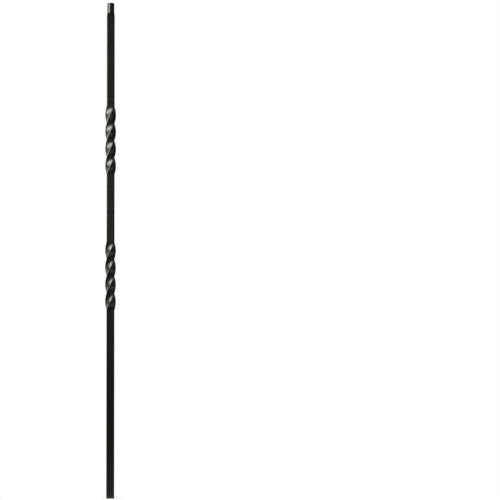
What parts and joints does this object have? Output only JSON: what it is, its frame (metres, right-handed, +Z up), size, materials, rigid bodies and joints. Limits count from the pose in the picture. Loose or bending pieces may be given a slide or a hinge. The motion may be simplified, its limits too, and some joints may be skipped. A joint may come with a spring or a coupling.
{
  "type": "iron stair baluster",
  "caption": "Square iron stair baluster with two right-handed twists along its length, a plain cut foot and a round dowel at the head for the underside of a handrail.",
  "frame": {"origin": "middle of the cut end of the foot, on the bar's axis", "axes": "+Z up along the bar from the foot to the dowel; X and Y square to the bar's flat sides"},
  "size_m": [0.0214, 0.0214, 1],
  "materials": {
    "satin_black_coat": "satin black powder coat on steel bar"
  },
  "bodies": {
    "root": {"baluster": "satin_black_coat"}
  },
  "joints": []
}
